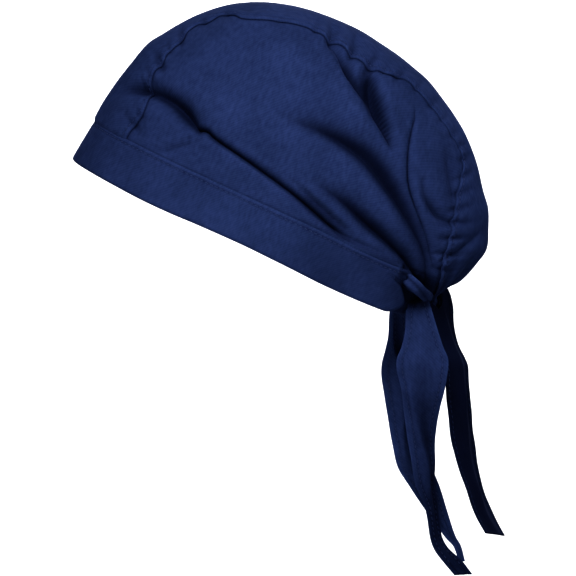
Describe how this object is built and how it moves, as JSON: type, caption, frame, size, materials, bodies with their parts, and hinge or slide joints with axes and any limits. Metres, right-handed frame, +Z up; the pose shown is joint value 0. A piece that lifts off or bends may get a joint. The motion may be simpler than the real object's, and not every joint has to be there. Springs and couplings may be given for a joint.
{
  "type": "chef bandana cap",
  "caption": "Tied skull cap of navy twill: a centre strip over the crown between side panels, a folded headband, and a knot at the nape with hanging ties.",
  "frame": {"origin": "middle of the head opening, level with the headband's lower edge, where a head goes in", "axes": "+Z up as worn, -Y towards the cap's front, +X towards the wearer's left; the opening's plane leans 24.4 degrees down towards the nape"},
  "size_m": [0.1572, 0.2364, 0.317],
  "materials": {
    "navy_twill": "matte woven twill, piece-dyed"
  },
  "bodies": {
    "root": {"headband": "navy_twill", "side_panel_left": "navy_twill", "side_panel_right": "navy_twill", "crown_strip": "navy_twill", "nape_knot": "navy_twill", "tie_left": "navy_twill", "tie_right": "navy_twill", "strip_tail": "navy_twill"}
  },
  "joints": []
}
